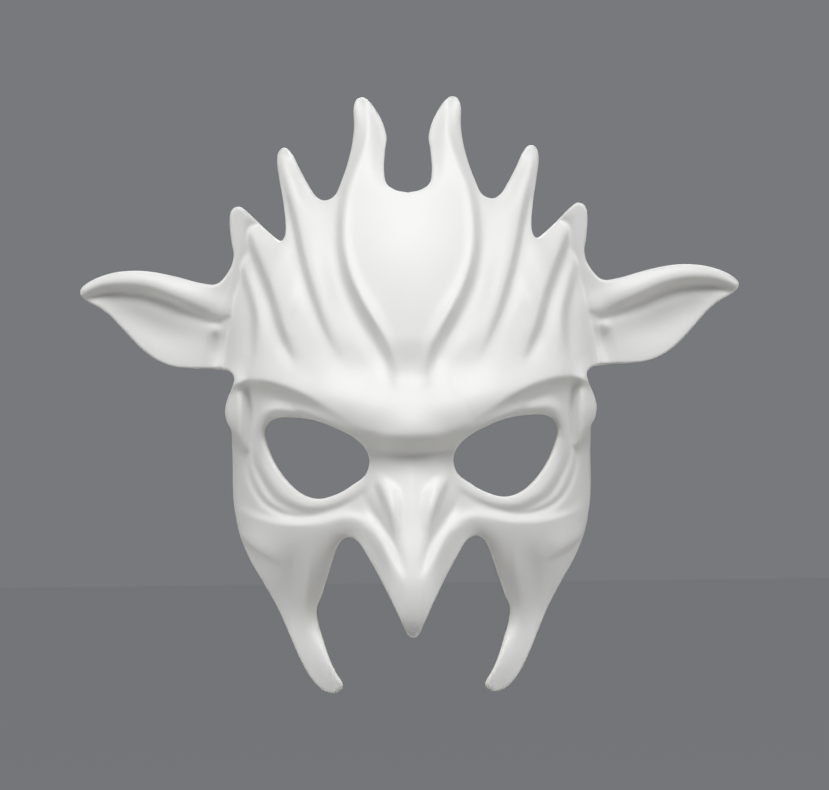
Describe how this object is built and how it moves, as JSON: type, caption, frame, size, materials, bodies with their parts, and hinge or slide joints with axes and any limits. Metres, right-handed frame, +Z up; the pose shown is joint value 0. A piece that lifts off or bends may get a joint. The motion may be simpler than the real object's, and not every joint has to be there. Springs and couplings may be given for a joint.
{
  "type": "creature half mask",
  "caption": "Cast half mask with horns, pointed ears, heavy brow and beak nose, open cheeks, foam pads and an adjustable elastic head strap on press studs.",
  "frame": {"origin": "middle of the wearer's eye line, where the mask is held on the head", "axes": "the face looks along -Y, +Y points to the back of the head, +X is the wearer's left and along the longest side, ear tip to ear tip, +Z up"},
  "size_m": [0.28, 0.1817, 0.25],
  "materials": {
    "shell": "white, unpainted cast neoprene rubber, satin",
    "foam": "charcoal closed-cell neoprene foam, matt",
    "boss": "black moulded rubber",
    "stud": "nickel plated brass",
    "elastic": "black woven elastic, ribbed",
    "tab": "black nylon webbing, stitched",
    "slider": "black moulded acetal"
  },
  "bodies": {
    "mask": {"mask_shell": "shell", "brow_pad": "foam", "bridge_pad": "foam", "left_cheek_pad": "foam", "right_cheek_pad": "foam", "left_stud_boss": "boss", "right_stud_boss": "boss", "left_stud": "stud", "right_stud": "stud"},
    "head_strap": {"left_socket": "stud", "right_socket": "stud", "left_cap": "stud", "right_cap": "stud", "left_tab": "tab", "right_tab": "tab", "adjuster_ring": "stud", "elastic_strap": "elastic"},
    "slider": {"strap_slider": "slider"}
  },
  "joints": [
    {"name": "strap_swing", "type": "hinge", "parent": "mask", "child": "head_strap", "pos_m": [0, 0.021, 0.048], "axis": [1, 0, 0], "range_deg": [-65, 55]},
    {"name": "slider_slide", "type": "slide", "parent": "head_strap", "child": "slider", "axis": [0, 1, 0], "range_m": [-0.01, 0.008]}
  ]
}
